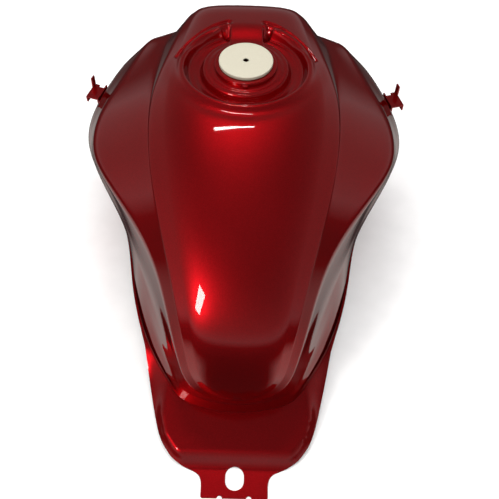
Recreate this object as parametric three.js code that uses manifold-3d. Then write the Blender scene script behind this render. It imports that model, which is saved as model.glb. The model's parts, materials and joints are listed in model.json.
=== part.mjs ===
import * as THREE from 'three';
import { mergeVertices } from 'three/addons/utils/BufferGeometryUtils.js';
import Module from 'manifold-3d';

// Motorcycle fuel tank, millimetres. +X is the rider's right, +Y is forward, +Z is up.
// The tank stands on its front lobes and on the rear tab, on the plane z = 0.

// ---- driving dimensions ---------------------------------------------------
const SHEET = 1.2;              // steel sheet thickness
const GAP = 0.3;                // clearance between separate pieces
const NECK_Y = 144;             // fore-and-aft position of the filler neck
const NECK_BORE = 28.5;         // filler opening radius
const NECK_R = NECK_BORE + 9.5; // outer radius of the neck ring
const PLATFORM_R = 53;          // raised platform round the neck
const PLATFORM_Z = 267;         // height of that platform
const BOWL_R = 76;              // rim radius of the moat round the platform
const BOWL_FLOOR_Z = 256;       // floor of the moat
const BRIDGE_HALF = 20;         // half width of the bridge across the moat
const PLUG_R = NECK_R - 5.2;    // blanking plug cover radius
const BELLY_Z = 37;             // height of the raised middle of the underside
const TUNNEL_Z = 152;           // top of the frame tunnel at its front mouth
const TAB_HALF = 39;            // half width of the rear tab
const TAB_END_Y = -294;         // rear edge of the tab
const SLOT_W = 22;              // rear slot width
const SLOT_L = 28;              // rear slot length
const SLOT_Y = -271;            // rear slot centre
const TAP = { x: -88, y: -18 }; // fuel tap position
const SENDER = { x: 92, y: -34 }; // level sender position
const STEPS = 3;                // surface rows between two stations
const ORIGIN_Y = 2.85;          // shift that centres the length on the origin

// ---- body surface ---------------------------------------------------------
// One row per station, from the tunnel mouth, up the front face, back over the
// deck to the tail. Each row is the right half of a section, crown to lower edge:
// crown, panel, panel crease, groove foot, shoulder, flank, skirt, lower edge.
const STATIONS = [
  [[0, 270, 152], [24, 270, 150], [42, 270, 140], [50, 270, 128], [54, 270, 95], [56, 270, 62], [58, 270, 30], [60, 270, 0]],
  [[0, 285, 192], [38, 285, 190], [66, 284, 182], [76, 284, 168], [98, 284, 136], [100, 284, 98], [92, 284, 44], [88, 283, 0]],
  [[0, 291, 238], [56, 290, 236], [80, 287, 222], [90, 287, 203], [130, 288, 190], [155, 288, 150], [144, 288, 70], [122, 286, 0]],
  [[0, 282, 264], [58, 282, 262], [74, 279, 249], [92, 278, 222], [133, 275, 208], [177, 270, 164], [170, 270, 90], [142, 272, 0]],
  [[0, 238, 271], [62, 238, 267], [86, 236, 252], [109, 234, 228], [146, 232, 208], [190, 236, 167], [188, 232, 104], [160, 232, 0]],
  [[0, 185, 277], [68, 185, 272], [97, 182, 256], [111, 182, 238], [166, 178, 205], [207, 186, 163], [206, 184, 118], [172, 186, 0]],
  [[0, 132, 280], [76, 132, 274], [110, 127, 252], [114, 127, 246], [186, 128, 201], [213, 136, 160], [209, 130, 120], [176, 132, 0]],
  [[0, 88, 280], [78, 88, 273], [113, 82, 248], [115, 82, 245], [192, 74, 190], [200, 90, 156], [191, 84, 116], [168, 86, 0]],
  [[0, 28, 271], [74, 28, 264], [109, 21, 237], [111, 21, 235], [173, 30, 189], [160, 40, 140], [155, 38, 90], [152, 36, 0]],
  [[0, -45, 246], [64, -45, 238], [94, -49, 215], [95, -49, 213], [119, -44, 183], [128, -28, 98], [136, -20, 76], [143, -22, 0]],
  [[0, -105, 221], [52, -105, 214], [77, -108, 193], [78, -108, 191], [91, -102, 171], [106, -82, 98], [118, -74, 72], [131, -70, 0]],
  [[0, -160, 187], [43, -160, 182], [64, -160, 164], [65, -160, 162], [76, -156, 147], [86, -138, 104], [98, -128, 64], [114, -122, 0]],
  [[0, -192, 163], [42, -189, 158], [57, -180, 138], [58, -180, 136], [67, -178, 118], [70, -174, 92], [73, -172, 56], [80, -172, 0]],
  [[0, -203, 108], [38, -201, 104], [51, -195, 88], [52, -195, 85], [57, -196, 74], [59, -194, 62], [62, -190, 50], [66, -190, 0]],
  [[0, -207, 64], [0, -207, 61], [0, -207, 58], [0, -207, 56], [0, -206, 53], [0, -205, 50], [0, -204, 46], [0, -203, 0]],
];
// How far along each side of a section corner its rounding reaches (0 to 0.5).
const ROUNDING = [0.5, 0.5, 0.16, 0.12, 0.13, 0.4, 0.25, 0];
// Straight divisions of each section span, and divisions of each rounding.
const SPAN = [1, 1, 1, 1, 1, 1, 1];
const ROUND = 2;

const lerp = (a, b, t) => a + (b - a) * t;
const mix = (p, q, t) => p.map((v, i) => lerp(v, q[i], t));
const smooth = (t) => { const c = Math.min(1, Math.max(0, t)); return c * c * (3 - 2 * c); };

// Height of the sheet's lower side along the underside, outside the tunnel.
function bellyZ(y) {
  if (y >= 30) return BELLY_Z * smooth((122 - y) / 92);
  if (y >= -110) return BELLY_Z;
  if (y >= -205) return lerp(BELLY_Z, 22, (-110 - y) / 95);
  if (y >= -242) return lerp(22, 16, (-205 - y) / 37);
  return 16 * (1 - smooth((-242 - y) / 18));
}

// Height of the tunnel roof above the belly, as a share of its height at the mouth.
function tunnelShare(y) {
  return 0.96 * smooth((y + 150) / 420 + 0.12) * smooth((y + 128) / 90);
}

function splinePoint(list, t) {
  const n = list.length;
  const i = Math.min(Math.max(Math.floor(t), 0), n - 2);
  const f = t - i;
  const at = (k) => {
    if (k < 0) return list[0].map((v, m) => 2 * v - list[1][m]);
    if (k >= n) return [-list[n - 2][0], list[n - 2][1], list[n - 2][2]];
    return list[k];
  };
  const w = [(1 - f) ** 3, 3 * f ** 3 - 6 * f * f + 4, -3 * f ** 3 + 3 * f * f + 3 * f + 1, f ** 3];
  return [0, 1, 2].map((m) => w.reduce((s, wk, k) => s + wk * at(i - 1 + k)[m], 0) / 6);
}

function controlRow(t) {
  const row = STATIONS[0].map((_, k) => splinePoint(STATIONS.map((s) => s[k]), t));
  row[7][2] = bellyZ(row[7][1]) + SHEET + GAP;
  return row;
}

function halfSection(q) {
  const mirrored = [-q[1][0], q[1][1], q[1][2]];
  const bend = (a, b, c, ra, rc, u) => {
    const p = mix(b, a, ra);
    const r = mix(b, c, rc);
    return mix(mix(p, b, u), mix(b, r, u), u);
  };
  const pts = [];
  for (let i = 0; i <= ROUND / 2; i++) pts.push(bend(mirrored, q[0], q[1], 0.5, 0.5, 0.5 + i / ROUND));
  for (let k = 0; k < 7; k++) {
    const start = ROUNDING[k];
    const end = 1 - ROUNDING[k + 1];
    for (let i = 1; i <= SPAN[k]; i++) {
      if (end > start) pts.push(mix(q[k], q[k + 1], lerp(start, end, i / SPAN[k])));
    }
    if (k === 6) break;
    const r = ROUNDING[k + 1];
    for (let i = 1; i <= ROUND; i++) pts.push(bend(q[k], q[k + 1], q[k + 2], r, r, i / ROUND));
  }
  return pts;
}

// Full-width grid of points: rows along the tank, columns from left edge to right edge.
function bodyGrid() {
  const rows = [];
  const last = STATIONS.length - 1;
  for (let i = 0; i <= last * STEPS; i++) {
    const half = halfSection(controlRow(i / STEPS));
    half[0][0] = 0;
    if (i === last * STEPS) half.forEach((p) => { p[0] = 0; });
    const left = half.slice(1).reverse().map((p) => [-p[0], p[1], p[2]]);
    rows.push([...left, ...half]);
  }
  return rows;
}

// Grid moved inwards by one sheet thickness along its own normals.
function insetGrid(grid, by) {
  const cols = grid[0].length;
  const at = (i, j) => new THREE.Vector3(...grid[i][j]);
  return grid.map((row, i) => row.map((p, j) => {
    const end = i === grid.length - 1;
    const du = at(i, Math.min(j + 1, cols - 1)).sub(at(i, Math.max(j - 1, 0)));
    const dv = end ? at(i, j).sub(at(i - 1, j)) : at(i + 1, j).sub(at(Math.max(i - 1, 0), j));
    if (end) {
      dv.copy(at(i - 1, cols - 1 - j)).sub(at(i - 1, j));
      const along = at(i, Math.min(j + 1, cols - 1)).sub(at(i, Math.max(j - 1, 0)));
      const out = along.cross(dv).normalize();
      out.x = 0;
      if (out.y > 0) out.negate();
      out.normalize();
      return [0, p[1] - out.y * by, p[2] - out.z * by];
    }
    const n = dv.cross(du).normalize();
    return [p[0] - n.x * by, p[1] - n.y * by, p[2] - n.z * by];
  }));
}

// Closed solid under a grid: the surface, a flat mouth in front and a floor below.
function gridSolid(grid) {
  const rows = grid.length;
  const cols = grid[0].length;
  const pos = grid.flat(2);
  const id = (i, j) => i * cols + j;
  const tris = [];
  const quad = (a, b, c, d) => tris.push(a, b, c, a, c, d);
  for (let i = 0; i < rows - 1; i++) {
    for (let j = 0; j < cols - 1; j++) quad(id(i, j), id(i, j + 1), id(i + 1, j + 1), id(i + 1, j));
    quad(id(i, cols - 1), id(i, 0), id(i + 1, 0), id(i + 1, cols - 1));
  }
  for (let j = 0; j < (cols - 1) / 2; j++) quad(id(0, j), id(0, cols - 1 - j), id(0, cols - 2 - j), id(0, j + 1));
  return solidFrom(new Float32Array(pos), new Uint32Array(tris));
}

// ---- solids ---------------------------------------------------------------
const wasm = await Module();
wasm.setup();

function solidFrom(positions, indices) {
  const g = new THREE.BufferGeometry();
  g.setAttribute('position', new THREE.BufferAttribute(positions, 3));
  g.setIndex(new THREE.BufferAttribute(indices, 1));
  return toSolid(g);
}

function toSolid(geometry) {
  const g = geometry.clone();
  g.deleteAttribute('normal');
  g.deleteAttribute('uv');
  const m = mergeVertices(g, 1e-3);
  const idx = [];
  const src = m.index.array;
  for (let i = 0; i < src.length; i += 3) {
    if (src[i] !== src[i + 1] && src[i + 1] !== src[i + 2] && src[i] !== src[i + 2]) idx.push(src[i], src[i + 1], src[i + 2]);
  }
  const mesh = new wasm.Mesh({
    numProp: 3,
    vertProperties: new Float32Array(m.attributes.position.array),
    triVerts: new Uint32Array(idx),
  });
  let solid = new wasm.Manifold(mesh);
  if (solid.volume() < 0) {
    for (let i = 0; i < idx.length; i += 3) [idx[i], idx[i + 1]] = [idx[i + 1], idx[i]];
    solid = new wasm.Manifold(new wasm.Mesh({
      numProp: 3,
      vertProperties: new Float32Array(m.attributes.position.array),
      triVerts: new Uint32Array(idx),
    }));
  }
  return solid;
}

function toGeometry(solid) {
  const out = solid.simplify(0.02).getMesh();
  const g = new THREE.BufferGeometry();
  g.setAttribute('position', new THREE.BufferAttribute(new Float32Array(out.vertProperties), 3));
  g.setIndex(new THREE.BufferAttribute(new Uint32Array(out.triVerts), 1));
  g.computeVertexNormals();
  return g;
}

function block(w, d, h, x, y, z) {
  return toSolid(new THREE.BoxGeometry(w, d, h).translate(x, y, z));
}

function turned(profile, x, y, segments = 24) {
  const pts = profile.map(([r, z]) => new THREE.Vector2(r, z));
  pts.push(pts[0].clone());
  return toSolid(new THREE.LatheGeometry(pts, segments).rotateX(Math.PI / 2).translate(x, y, 0));
}

function rod(r, length, segments = 16) {
  return new THREE.CylinderGeometry(r, r, length, segments);
}

function upright(r, z0, z1, x, y, segments = 20) {
  return toSolid(rod(r, z1 - z0, segments).rotateX(Math.PI / 2).translate(x, y, (z0 + z1) / 2));
}

function acrossX(r, x0, x1, y, z, segments = 20) {
  return toSolid(rod(r, x1 - x0, segments).rotateZ(Math.PI / 2).translate((x0 + x1) / 2, y, z));
}

function prism(outline, z0, z1) {
  const shape = new THREE.Shape(outline.map(([x, y]) => new THREE.Vector2(x, y)));
  const g = new THREE.ExtrudeGeometry(shape, { depth: z1 - z0, bevelEnabled: false });
  return toSolid(g.translate(0, 0, z0));
}

function stadium(halfLong, r, x, y, z0, z1, alongY = false) {
  const ends = alongY ? [[x, y - halfLong], [x, y + halfLong]] : [[x - halfLong, y], [x + halfLong, y]];
  const parts = ends.map(([cx, cy]) => upright(r, z0, z1, cx, cy));
  const bar = alongY ? block(2 * r, 2 * halfLong, z1 - z0, x, y, (z0 + z1) / 2)
    : block(2 * halfLong, 2 * r, z1 - z0, x, y, (z0 + z1) / 2);
  return parts[0].add(parts[1]).add(bar);
}

const onSide = (solid, side) => (side < 0 ? solid.mirror([1, 0, 0]) : solid);

function sweptTube(points, r, bore) {
  const curve = new THREE.CatmullRomCurve3(points.map((p) => new THREE.Vector3(...p)), false, 'catmullrom', 0.2);
  const ring = new THREE.Shape();
  ring.absarc(0, 0, r, 0, Math.PI * 2);
  if (bore) {
    const hole = new THREE.Path();
    hole.absarc(0, 0, bore, 0, Math.PI * 2, true);
    ring.holes.push(hole);
  }
  const g = new THREE.ExtrudeGeometry(ring, { steps: 14, extrudePath: curve, curveSegments: 6, bevelEnabled: false });
  return toSolid(g);
}

// ---- shell ----------------------------------------------------------------
const grid = bodyGrid();

// The moat round the neck and the lowered platform, as one cutting body.
function bowlTool(grow) {
  const r0 = PLATFORM_R + grow;
  const r1 = BOWL_R + grow;
  const floor = BOWL_FLOOR_Z - grow;
  const top = 300;
  const moat = turned([
    [0.01, top], [0.01, PLATFORM_Z - grow], [r0 - 2 * grow - 1.5, PLATFORM_Z - grow],
    [r0 - 2 * grow, PLATFORM_Z - grow - 1.5], [r0 - 2 * grow + 2, floor],
    [r1 - 8, floor], [r1 - 3.5, floor + 4], [r1 - 1, PLATFORM_Z + 2], [r1 + 2, top],
  ], 0, NECK_Y, 48);
  const bridge = block(2 * (BRIDGE_HALF - grow), 60, 60, 0, NECK_Y + PLATFORM_R + 26, PLATFORM_Z - grow - 30);
  return moat.subtract(bridge);
}

function archOutline(outset) {
  return grid[0].map((p) => [p[0] + Math.sign(p[0]) * outset, p[2] + (p[2] > 120 ? outset : 0)]);
}

function mouthTool() {
  const pts = archOutline(0.3);
  pts[0][1] = -8;
  pts[pts.length - 1][1] = -8;
  const shape = new THREE.Shape(pts.map(([x, z]) => new THREE.Vector2(x, z)));
  const g = new THREE.ExtrudeGeometry(shape, { depth: 40, bevelEnabled: false });
  return toSolid(g.rotateX(Math.PI / 2).translate(0, 300, 0));
}

function outerShell() {
  const outside = gridSolid(grid).subtract(bowlTool(0));
  const inset = insetGrid(grid, SHEET).map((row) => {
    const drop = (p) => [p[0], p[1], p[2] - 5];
    return [drop(row[0]), ...row, drop(row[row.length - 1])];
  });
  const inside = gridSolid(inset).subtract(bowlTool(SHEET));
  return outside.subtract(inside).subtract(mouthTool())
    .subtract(upright(NECK_R + GAP, 240, 300, 0, NECK_Y, 48))
    .subtract(upright(4, 240, 262, 61.5, NECK_Y - 4));
}

// ---- underside ------------------------------------------------------------
function panOutline() {
  const edge = grid.map((row) => row[row.length - 1]).filter((p) => p[1] > -96);
  const half = edge.map(([x, y], i) => {
    const a = edge[Math.max(i - 1, 0)];
    const b = edge[Math.min(i + 1, edge.length - 1)];
    const len = Math.hypot(b[0] - a[0], b[1] - a[1]);
    return i === 0 ? [x, y + 1] : [x + (a[1] - b[1]) / len * 2.5, y + (b[0] - a[0]) / len * 2.5];
  });
  const tray = [[117, -120], [111, -150], [106, -172], [100, -196], [94, -218], [87, -234], [75, -250],
    [60, -259], [47, -264], [42, -268], [TAB_HALF, -275], [TAB_HALF, TAB_END_Y]];
  const right = [...half, ...tray];
  return [...right, ...right.slice().reverse().map(([x, y]) => [-x, y])];
}

// Where the tray's side wall starts and where it ends, at one place along the tank.
function sideWall(y) {
  const knots = [[-110, 104, 120], [-163, 84, 107], [-201, 88, 99], [-224, 83, 91.5], [-237, 73, 85],
    [-250, 62, 75], [-262, 61, 64]];
  if (y >= knots[0][0]) return [104, 120];
  const k = Math.min(knots.findIndex((row, i) => i === knots.length - 1 || y >= knots[i + 1][0]), knots.length - 2);
  const t = Math.min(1, (y - knots[k][0]) / (knots[k + 1][0] - knots[k][0]));
  return [lerp(knots[k][1], knots[k + 1][1], t), lerp(knots[k][2], knots[k + 1][2], t)];
}

function underGrid() {
  const arch = grid[0].slice((grid[0].length - 1) / 2).map((p) => [p[0], p[2]]);
  const inset = arch.filter((_, k) => k % 2 === 0 || k > 16 || k < 1).map(([x, z]) => [Math.max(0, x - (z < 145 ? GAP + SHEET + 0.2 : 0)), Math.min(z, TUNNEL_Z - SHEET - 1.4)]);
  inset[inset.length - 1][0] += 0.5;
  const edge = grid.map((row) => row[row.length - 1][1]).filter((y) => y < 250);
  const ys = [295, 272, 256, ...edge, -205, -225, -242, -248, -254, -260, -275, -300];
  return ys.map((y) => {
    const half = inset.map(([x, z]) => [x, y, bellyZ(y) + Math.max(0, z * tunnelShare(y) - 0)]);
    half.forEach((p, k) => { if (k === half.length - 1) p[2] = bellyZ(y); });
    const [top, foot] = sideWall(y);
    const drop = Math.min(12, bellyZ(y) * 0.6) * smooth((-112 - y) / 45) * smooth((y + 262) / 14);
    [[top, 0], [lerp(top, foot, 0.5), 0.45], [foot, 1], [200, 1]].forEach(([x, share]) => {
      half.push([x, y, bellyZ(y) - drop * share]);
    });
    return [...half.slice(1).reverse().map((p) => [-p[0], p[1], p[2]]), ...half];
  });
}

// A sheet of even thickness lying on top of a grid.
function sheetSolid(low, thickness) {
  const rows = low.length;
  const cols = low[0].length;
  const at = (i, j) => new THREE.Vector3(...low[i][j]);
  const high = low.map((row, i) => row.map((p, j) => {
    const du = at(i, Math.min(j + 1, cols - 1)).sub(at(i, Math.max(j - 1, 0)));
    const dv = at(Math.min(i + 1, rows - 1), j).sub(at(Math.max(i - 1, 0), j));
    const n = dv.cross(du).normalize();
    if (n.z < 0) n.negate();
    return [p[0] + n.x * thickness, p[1] + (i === 0 || i === rows - 1 ? 0 : n.y * thickness), p[2] + n.z * thickness];
  }));
  const pos = [...low, ...high].flat(2);
  const id = (s, i, j) => s * rows * cols + i * cols + j;
  const tris = [];
  const quad = (a, b, c, d) => tris.push(a, b, c, a, c, d);
  for (let i = 0; i < rows - 1; i++) {
    for (let j = 0; j < cols - 1; j++) {
      quad(id(0, i, j), id(0, i + 1, j), id(0, i + 1, j + 1), id(0, i, j + 1));
      quad(id(1, i, j), id(1, i, j + 1), id(1, i + 1, j + 1), id(1, i + 1, j));
    }
    quad(id(0, i, 0), id(1, i, 0), id(1, i + 1, 0), id(0, i + 1, 0));
    quad(id(0, i, cols - 1), id(0, i + 1, cols - 1), id(1, i + 1, cols - 1), id(1, i, cols - 1));
  }
  for (let j = 0; j < cols - 1; j++) {
    quad(id(0, 0, j), id(0, 0, j + 1), id(1, 0, j + 1), id(1, 0, j));
    quad(id(0, rows - 1, j), id(1, rows - 1, j), id(1, rows - 1, j + 1), id(0, rows - 1, j + 1));
  }
  return solidFrom(new Float32Array(pos), new Uint32Array(tris));
}

const DRAIN = { x: 84, y: 16 };

function undersidePan() {
  const plate = sheetSolid(underGrid(), SHEET).intersect(prism(panOutline(), -2, 220));
  const slot = stadium((SLOT_L - SLOT_W) / 2, SLOT_W / 2, 0, SLOT_Y, -5, 20, true);
  let pan = plate.subtract(slot);
  for (const side of [-1, 1]) pan = pan.subtract(upright(3.2, -5, 20, side * 17, TAB_END_Y));
  pan = pan.subtract(upright(12, 20, 60, TAP.x, TAP.y));
  pan = pan.subtract(upright(20, 20, 60, SENDER.x, SENDER.y, 32));
  return pan.subtract(upright(4 + GAP, 20, 60, DRAIN.x, DRAIN.y));
}

// ---- filler ---------------------------------------------------------------
function fillerNeck() {
  const ring = turned([[NECK_BORE, 252], [NECK_R - 4, 252], [NECK_R - 4, 256], [NECK_R, 258], [NECK_R, 270],
    [NECK_R - 1.5, 271.5], [NECK_BORE + 2, 271.5], [NECK_BORE, 270]], 0, NECK_Y, 48);
  return ring.add(block(7, 5, 3, 0, NECK_Y - NECK_R - 0.5, PLATFORM_Z + GAP + 1.5));
}

function fillerPlug() {
  const top = 276.4;
  return turned([[3.3, 262], [NECK_BORE - 2.5, 262], [NECK_BORE - 1, 264], [NECK_BORE - 1, 271.8],
    [PLUG_R - 0.6, 271.8], [PLUG_R, 272.4], [PLUG_R, top - 1], [PLUG_R - 1, top], [3.9, top], [3.3, top - 0.6]],
  0, NECK_Y, 48);
}

function drainTube() {
  return sweptTube([[61.5, NECK_Y - 4, BOWL_FLOOR_Z - SHEET - GAP - 0.3], [63, NECK_Y - 8, 240], [72, 110, 190],
    [81, 50, 120], [DRAIN.x, DRAIN.y + 1, 70], [DRAIN.x, DRAIN.y, 50], [DRAIN.x, DRAIN.y, 34], [DRAIN.x, DRAIN.y, 20]], 4, 3);
}

function sloshBaffle() {
  const y = 20;
  const foot = bellyZ(y) + (TUNNEL_Z - SHEET - 1.4) * tunnelShare(y) + SHEET + 3.5;
  let plate = block(84, 1.2, 92, 0, y, foot + 46);
  plate = plate.add(block(84, 14, 1.2, 0, y - 6.4, foot + 92 - 0.6));
  for (const [x, z, r] of [[-22, 26, 11], [22, 26, 11], [0, 62, 13]]) {
    plate = plate.subtract(toSolid(rod(r, 20, 20).translate(x, y, foot + z)));
  }
  return plate;
}

// ---- brackets -------------------------------------------------------------
function frontBracket(side) {
  const w = 15;
  const [len, high, wall] = [40, 32, 3];
  const y = 232;
  const z = 66;
  const outer = block(w, len, high, 0, y, z).subtract(block(w + 2, len, high - 2 * wall, 0, y + wall, z));
  const lip = block(3, len - 6, high + 14, w / 2 - 1.5, y, z);
  return onSide(outer.add(lip).translate([52.2 - w / 2 - 1.4, 0, 0]), side);
}

function edgeAt(y, z) {
  let best = 0;
  for (let i = 0; i < grid.length - 1; i++) {
    for (let j = (grid[0].length - 1) / 2; j < grid[0].length - 1; j++) {
      const quad = [grid[i][j], grid[i][j + 1], grid[i + 1][j + 1], grid[i + 1][j]];
      for (const [a, b, c] of [[quad[0], quad[1], quad[2]], [quad[0], quad[2], quad[3]]]) {
        const det = (b[1] - a[1]) * (c[2] - a[2]) - (c[1] - a[1]) * (b[2] - a[2]);
        if (Math.abs(det) < 1e-9) continue;
        const u = ((y - a[1]) * (c[2] - a[2]) - (c[1] - a[1]) * (z - a[2])) / det;
        const v = ((b[1] - a[1]) * (z - a[2]) - (y - a[1]) * (b[2] - a[2])) / det;
        if (u >= -1e-6 && v >= -1e-6 && u + v <= 1 + 1e-6) best = Math.max(best, a[0] + u * (b[0] - a[0]) + v * (c[0] - a[0]));
      }
    }
  }
  return best;
}

function shroudHook(side) {
  const y = 206;
  const z = 158;
  const yaw = Math.atan2(edgeAt(y - 14, z) - edgeAt(y + 14, z), 28);
  const reach = Math.max(...[-15, -8, 0, 8, 15].flatMap((d) => [z - 7, z, z + 7].map((h) => edgeAt(y + d, h) - edgeAt(y, z) + d * Math.tan(yaw))));
  const base = block(1.8, 30, 13, 0.9, 0, 0);
  const shelf = block(20, 24, 2, 10, 0, 2);
  const lip = block(2, 24, 9, 19, 0, -1.5);
  const finger = block(2, 8, 18, 19, 12, 9).add(block(8, 8, 2, 16, 12, 2));
  const hook = base.add(shelf).add(lip).add(finger).rotate([0, 0, yaw * 180 / Math.PI]);
  return onSide(hook.translate([edgeAt(y, z) + reach + GAP, y, z]), side);
}

// ---- fuel tap -------------------------------------------------------------
const TAP_TOP = BELLY_Z - GAP;
const TAP_PIN_Z = 15.5;

function tapFlange() {
  return stadium(21, 9, TAP.x, TAP.y, TAP_TOP - 3, TAP_TOP, true).add(upright(15, TAP_TOP - 3, TAP_TOP, TAP.x, TAP.y))
    .subtract(upright(9.5, 0, 60, TAP.x, TAP.y))
    .subtract(upright(3.1, 0, 60, TAP.x, TAP.y - 21)).subtract(upright(3.1, 0, 60, TAP.x, TAP.y + 21));
}

function tapGasket() {
  const z = TAP_TOP - 3 - 0.1;
  return turned([[9.5, z - 1], [14, z - 1], [14, z], [9.5, z]], TAP.x, TAP.y, 20);
}

function tapBody() {
  const top = TAP_TOP - 4.2;
  const plate = stadium(21, 8, TAP.x, TAP.y, top - 3.5, top, true).add(upright(14, top - 3.5, top, TAP.x, TAP.y));
  const core = block(20, 24, top - 6, TAP.x, TAP.y, (top + 6) / 2);
  const spigot = acrossX(4, TAP.x + 8, TAP.x + 30, TAP.y, 13).add(acrossX(4.8, TAP.x + 25, TAP.x + 28, TAP.y, 13));
  let body = plate.add(core).add(spigot);
  body = body.subtract(upright(5, 13, 60, TAP.x, TAP.y)).subtract(acrossX(2.6, TAP.x, TAP.x + 40, TAP.y, 13));
  for (const s of [-1, 1]) {
    body = body.subtract(upright(3.1, 0, 60, TAP.x, TAP.y + 21 * s));
    body = body.subtract(acrossX(1.9, TAP.x - 20, TAP.x - 4, TAP.y + 9.4 * s, TAP_PIN_Z + 8));
  }
  return body;
}

function tapBolt(s) {
  const top = TAP_TOP - 4.2 - 3.5 - 0.1;
  return upright(2.8, top - 1, TAP_TOP - 0.4, TAP.x, TAP.y + 21 * s).add(upright(5.2, top - 4, top, TAP.x, TAP.y + 21 * s, 6));
}

function tapStrainer() {
  const z = TAP_TOP - 4.0;
  return turned([[6.2, z], [7.2, z], [7.2, 92], [5, 95], [0.01, 95], [0.01, 93.8], [4.6, 93.8], [6.2, 91.6]], TAP.x, TAP.y, 20);
}

function tapLever() {
  const x = TAP.x - 10.1;
  const disc = acrossX(7, x - 3, x, TAP.y, TAP_PIN_Z).add(acrossX(4.5, x - 8, x - 1, TAP.y, TAP_PIN_Z));
  const grip = block(3.4, 14, 7, x - 7.3, TAP.y - 7, TAP_PIN_Z).add(acrossX(7, x - 9, x - 5.6, TAP.y, TAP_PIN_Z));
  return disc.add(grip);
}

function tapPlate() {
  const x = TAP.x - 10.1 - 3.2;
  return block(1.2, 25, 22, x - 0.6, TAP.y, TAP_PIN_Z + 2.5).subtract(acrossX(4.7, x - 5, x + 5, TAP.y, TAP_PIN_Z))
    .subtract(acrossX(1.9, x - 5, x + 5, TAP.y - 9.4, TAP_PIN_Z + 8)).subtract(acrossX(1.9, x - 5, x + 5, TAP.y + 9.4, TAP_PIN_Z + 8));
}

function tapScrew(s) {
  const x = TAP.x - 10.1 - 4.4;
  return acrossX(1.6, x - 0.5, TAP.x - 5, TAP.y + 9.4 * s, TAP_PIN_Z + 8, 16)
    .add(acrossX(2.6, x - 1.1, x - 0.1, TAP.y + 9.4 * s, TAP_PIN_Z + 8, 16));
}

// ---- level sender ---------------------------------------------------------
const PIVOT_Z = 66;
const SENDER_SCREWS = [[1, 1], [-1, 1], [-1, -1], [1, -1]];
const SCREW_AT = 18.2;

function senderLayer(bore, r, z0, z1) {
  let ring = turned([[bore, z0], [r, z0], [r, z1], [bore, z1]], SENDER.x, SENDER.y, 32);
  for (const [a, b] of SENDER_SCREWS) ring = ring.subtract(upright(2.6, 0, 60, SENDER.x + SCREW_AT * a, SENDER.y + SCREW_AT * b, 16));
  return ring;
}

function senderBody() {
  const top = BELLY_Z - GAP - 3 - 1.4;
  let body = senderLayer(0.01, 31, top - 2, top);
  body = body.add(upright(11, top - 12, top - 1, SENDER.x, SENDER.y, 24)).add(block(12, 8, 8, SENDER.x, SENDER.y - 12, top - 7));
  body = body.add(block(12, 10, PIVOT_Z - top + 5, SENDER.x, SENDER.y - 6, (PIVOT_Z + top + 5) / 2));
  const fork = block(6, 12, 16, SENDER.x, SENDER.y + 1, PIVOT_Z);
  body = body.add(block(12, 8, 10, SENDER.x, SENDER.y + 1, PIVOT_Z)).subtract(fork);
  return body.add(acrossX(1.5, SENDER.x - 5, SENDER.x + 5, SENDER.y + 1, PIVOT_Z));
}

function senderScrew(a, b) {
  const z = BELLY_Z - GAP - 3 - 1.4 - 2 - 0.1;
  const [x, y] = [SENDER.x + SCREW_AT * a, SENDER.y + SCREW_AT * b];
  return upright(2.2, z - 1, BELLY_Z - GAP - 0.2, x, y, 16).add(upright(4.2, z - 3, z, x, y, 16));
}

const FLOAT_REACH = 74;
const FLOAT_DIP = -4;

function floatArm() {
  const [x, y, z] = [SENDER.x, SENDER.y + 1, PIVOT_Z];
  const eye = acrossX(3.4, x - 1.6, x + 1.6, y, z);
  const wire = sweptTube([[x, y + 2, z], [x, y + 20, z - 1], [x, y + FLOAT_REACH - 6, z + FLOAT_DIP]], 1.2, 0);
  const hook = acrossX(1.2, x - 1.2, x + 13, y + FLOAT_REACH - 6, z + FLOAT_DIP, 12);
  return eye.add(wire).add(hook).subtract(acrossX(1.56, x - 5, x + 5, y, z));
}

function floatBody() {
  const [y, z] = [SENDER.y + 1 + FLOAT_REACH - 6, PIVOT_Z + FLOAT_DIP];
  const x = SENDER.x + 2.5;
  return acrossX(11, x, x + 28, y, z, 20).subtract(acrossX(1.5, x - 1, x + 20, y, z, 12));
}

// ---- assembly -------------------------------------------------------------
const paint = () => new THREE.MeshStandardMaterial({ color: 0x8e0d16, metalness: 0.35, roughness: 0.25 });
const steel = () => new THREE.MeshStandardMaterial({ color: 0x9a9ca0, metalness: 0.9, roughness: 0.4 });
const alloy = () => new THREE.MeshStandardMaterial({ color: 0xb9bbbd, metalness: 0.8, roughness: 0.5 });
const cream = () => new THREE.MeshStandardMaterial({ color: 0xe3dac8, metalness: 0, roughness: 0.6 });
const black = () => new THREE.MeshStandardMaterial({ color: 0x17181a, metalness: 0, roughness: 0.7 });
const brass = () => new THREE.MeshStandardMaterial({ color: 0xb08d4c, metalness: 0.9, roughness: 0.35 });
const white = () => new THREE.MeshStandardMaterial({ color: 0xe8e6dc, metalness: 0, roughness: 0.7 });

const tank = new THREE.Group();
tank.name = 'fuel_tank';

function place(name, solid, material) {
  const mesh = new THREE.Mesh(toGeometry(solid.translate([0, ORIGIN_Y, 0])), material);
  mesh.name = name;
  tank.add(mesh);
}

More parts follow.
